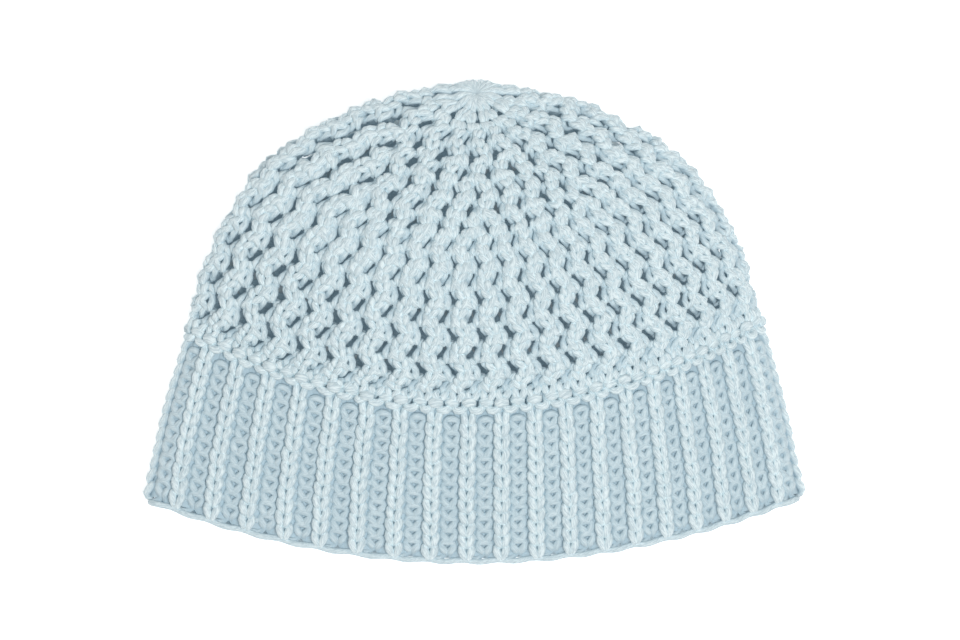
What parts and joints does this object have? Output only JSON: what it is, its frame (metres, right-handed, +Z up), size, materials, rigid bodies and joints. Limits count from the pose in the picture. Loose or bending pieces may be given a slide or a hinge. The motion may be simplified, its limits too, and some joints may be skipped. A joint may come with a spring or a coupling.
{
  "type": "knitted hat",
  "caption": "Chunky knitted hat with an openwork crown, a gathered top, a purl ridge and a flared ribbed brim, lying flat on its back and slightly puffed up, open at the brim.",
  "frame": {"origin": "on the surface that the hat lies on, below the middle of its bounding box", "axes": "+X across the hat to the wearer's right fold as seen from above with the crown up the page, +Y towards the top of the crown, +Z up from the surface"},
  "size_m": [0.2802, 0.2066, 0.0437],
  "materials": {
    "rib_knit": "matt plied yarn in pale ice blue, knit and purl ribs",
    "ridge_knit": "matt plied yarn in pale ice blue, a row of purl bumps",
    "openwork_knit": "matt plied yarn in pale ice blue, openwork stitches with eyelets",
    "star_knit": "matt plied yarn in pale ice blue, gathered knit stitches"
  },
  "bodies": {
    "root": {"ribbed_brim": "rib_knit", "purl_ridge": "ridge_knit", "mesh_crown": "openwork_knit", "crown_star": "star_knit"}
  },
  "joints": []
}
